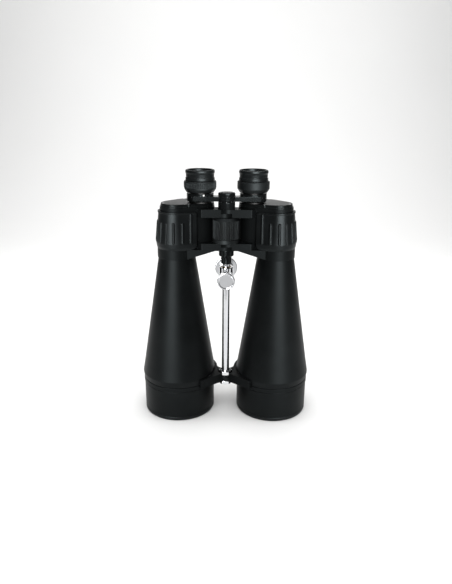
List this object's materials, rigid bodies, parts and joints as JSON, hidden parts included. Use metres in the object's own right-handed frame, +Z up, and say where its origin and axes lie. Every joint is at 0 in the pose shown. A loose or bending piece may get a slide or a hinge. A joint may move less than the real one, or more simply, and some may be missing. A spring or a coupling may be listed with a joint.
{
  "type": "astronomy binoculars",
  "caption": "Large Porro-prism astronomy binoculars with folding hinge, focus wheel, dioptre ring, tapered barrels and a chrome rod with a sliding tripod foot.",
  "frame": {"origin": "on the ground midway between the two objective axes, at the bottom centre of the bounding box; the binoculars stand on their objective rims", "axes": "+Z up along the optical axes towards the eyepieces, -Y towards the user's top side, -X towards the user's right half"},
  "size_m": [0.2238, 0.0974, 0.3224],
  "materials": {
    "body_paint": "satin black powder coat",
    "bell_paint": "satin black powder coat",
    "cover_paint": "satin black enamel",
    "arm_gloss": "semi-gloss black enamel",
    "rubber": "matt black rubber",
    "chrome": "polished chrome plate",
    "steel": "turned steel",
    "black_aluminium": "matt black anodised",
    "brass": "turned brass",
    "coated_glass": "anti-reflection coated",
    "prism_glass": "polished"
  },
  "bodies": {
    "left_half": {"left_prism_housing": "body_paint", "left_prism_cover": "cover_paint", "left_cover_screws": "steel", "left_prism_shelf": "black_aluminium", "left_prism_a": "prism_glass", "left_prism_b": "prism_glass", "left_armour": "rubber", "left_objective_barrel": "body_paint", "left_objective_bell": "bell_paint", "left_objective_rim": "rubber", "left_lens_retaining_ring": "black_aluminium", "left_objective_crown": "coated_glass", "left_objective_flint": "coated_glass", "left_front_arm": "body_paint", "hinge_axle": "steel", "hinge_cap_nut": "arm_gloss", "rod_socket": "arm_gloss", "rod": "chrome", "rod_nuts": "chrome"},
    "right_half": {"right_prism_housing": "body_paint", "right_prism_cover": "cover_paint", "right_cover_screws": "steel", "right_prism_shelf": "black_aluminium", "right_prism_a": "prism_glass", "right_prism_b": "prism_glass", "right_armour": "rubber", "right_objective_barrel": "body_paint", "right_objective_bell": "bell_paint", "right_objective_rim": "rubber", "right_lens_retaining_ring": "black_aluminium", "right_objective_crown": "coated_glass", "right_objective_flint": "coated_glass", "right_front_arm": "body_paint"},
    "focus_wheel": {"focus_wheel": "arm_gloss", "focus_grip": "rubber"},
    "bridge": {"focus_spindle": "steel", "focus_drive_pin": "steel", "bridge_cap": "arm_gloss", "left_eyepiece_arm": "arm_gloss", "left_eyepiece_tube": "black_aluminium", "left_ocular_cell": "black_aluminium", "left_field_lens": "coated_glass", "left_eye_lens": "coated_glass", "left_eyepiece_body": "arm_gloss", "left_eyecup": "rubber"},
    "right_arm": {"right_eyepiece_arm": "arm_gloss", "right_eyepiece_tube": "black_aluminium"},
    "right_cell": {"right_ocular_cell": "black_aluminium", "right_field_lens": "coated_glass", "right_eye_lens": "coated_glass"},
    "dioptre_ring": {"right_dioptre_ring": "arm_gloss", "right_eyecup": "rubber"},
    "carriage_bush": {"carriage_bush": "brass"},
    "carriage": {"tripod_carriage": "chrome", "tripod_foot": "chrome"},
    "lock_knob": {"lock_knob": "chrome", "lock_screw": "steel"}
  },
  "joints": [
    {"name": "ipd_fold", "type": "hinge", "parent": "left_half", "child": "right_half", "pos_m": [0, -0.01, 0], "axis": [0, 0, 1], "range_deg": [-30, 24]},
    {"name": "focus_turn", "type": "hinge", "parent": "left_half", "child": "focus_wheel", "pos_m": [0, -0.01, 0], "axis": [0, 0, 1], "range_deg": [0, 303]},
    {"name": "focus_slide", "type": "slide", "parent": "left_half", "child": "bridge", "axis": [0, 0, 1], "range_m": [0, 0.01]},
    {"name": "right_arm_fold", "type": "hinge", "parent": "bridge", "child": "right_arm", "pos_m": [0, -0.01, 0], "axis": [0, 0, 1], "range_deg": [-31, 25]},
    {"name": "dioptre_slide", "type": "slide", "parent": "right_arm", "child": "right_cell", "axis": [0, 0, 1], "range_m": [-0.001, 0.001]},
    {"name": "dioptre_turn", "type": "hinge", "parent": "right_cell", "child": "dioptre_ring", "pos_m": [-0.0331, 0.005, 0], "axis": [0, 0, 1], "range_deg": [-61, 61]},
    {"name": "carriage_slide", "type": "slide", "parent": "left_half", "child": "carriage_bush", "axis": [0, 0, -1], "range_m": [0, 0.115]},
    {"name": "carriage_swivel", "type": "hinge", "parent": "carriage_bush", "child": "carriage", "pos_m": [0, -0.01, 0], "axis": [0, 0, 1], "range_deg": [-8, 8]},
    {"name": "lock_turn", "type": "hinge", "parent": "carriage", "child": "lock_knob", "pos_m": [0, -0.03, 0.193], "axis": [0, -1, 0], "range_deg": [0, 180]}
  ],
  "couplings": [
    {"joint": "focus_turn", "follows": "focus_slide", "rad_per_m": 523.6},
    {"joint": "right_arm_fold", "follows": "ipd_fold", "ratio": 1},
    {"joint": "dioptre_turn", "follows": "dioptre_slide", "rad_per_m": 1047.2}
  ]
}
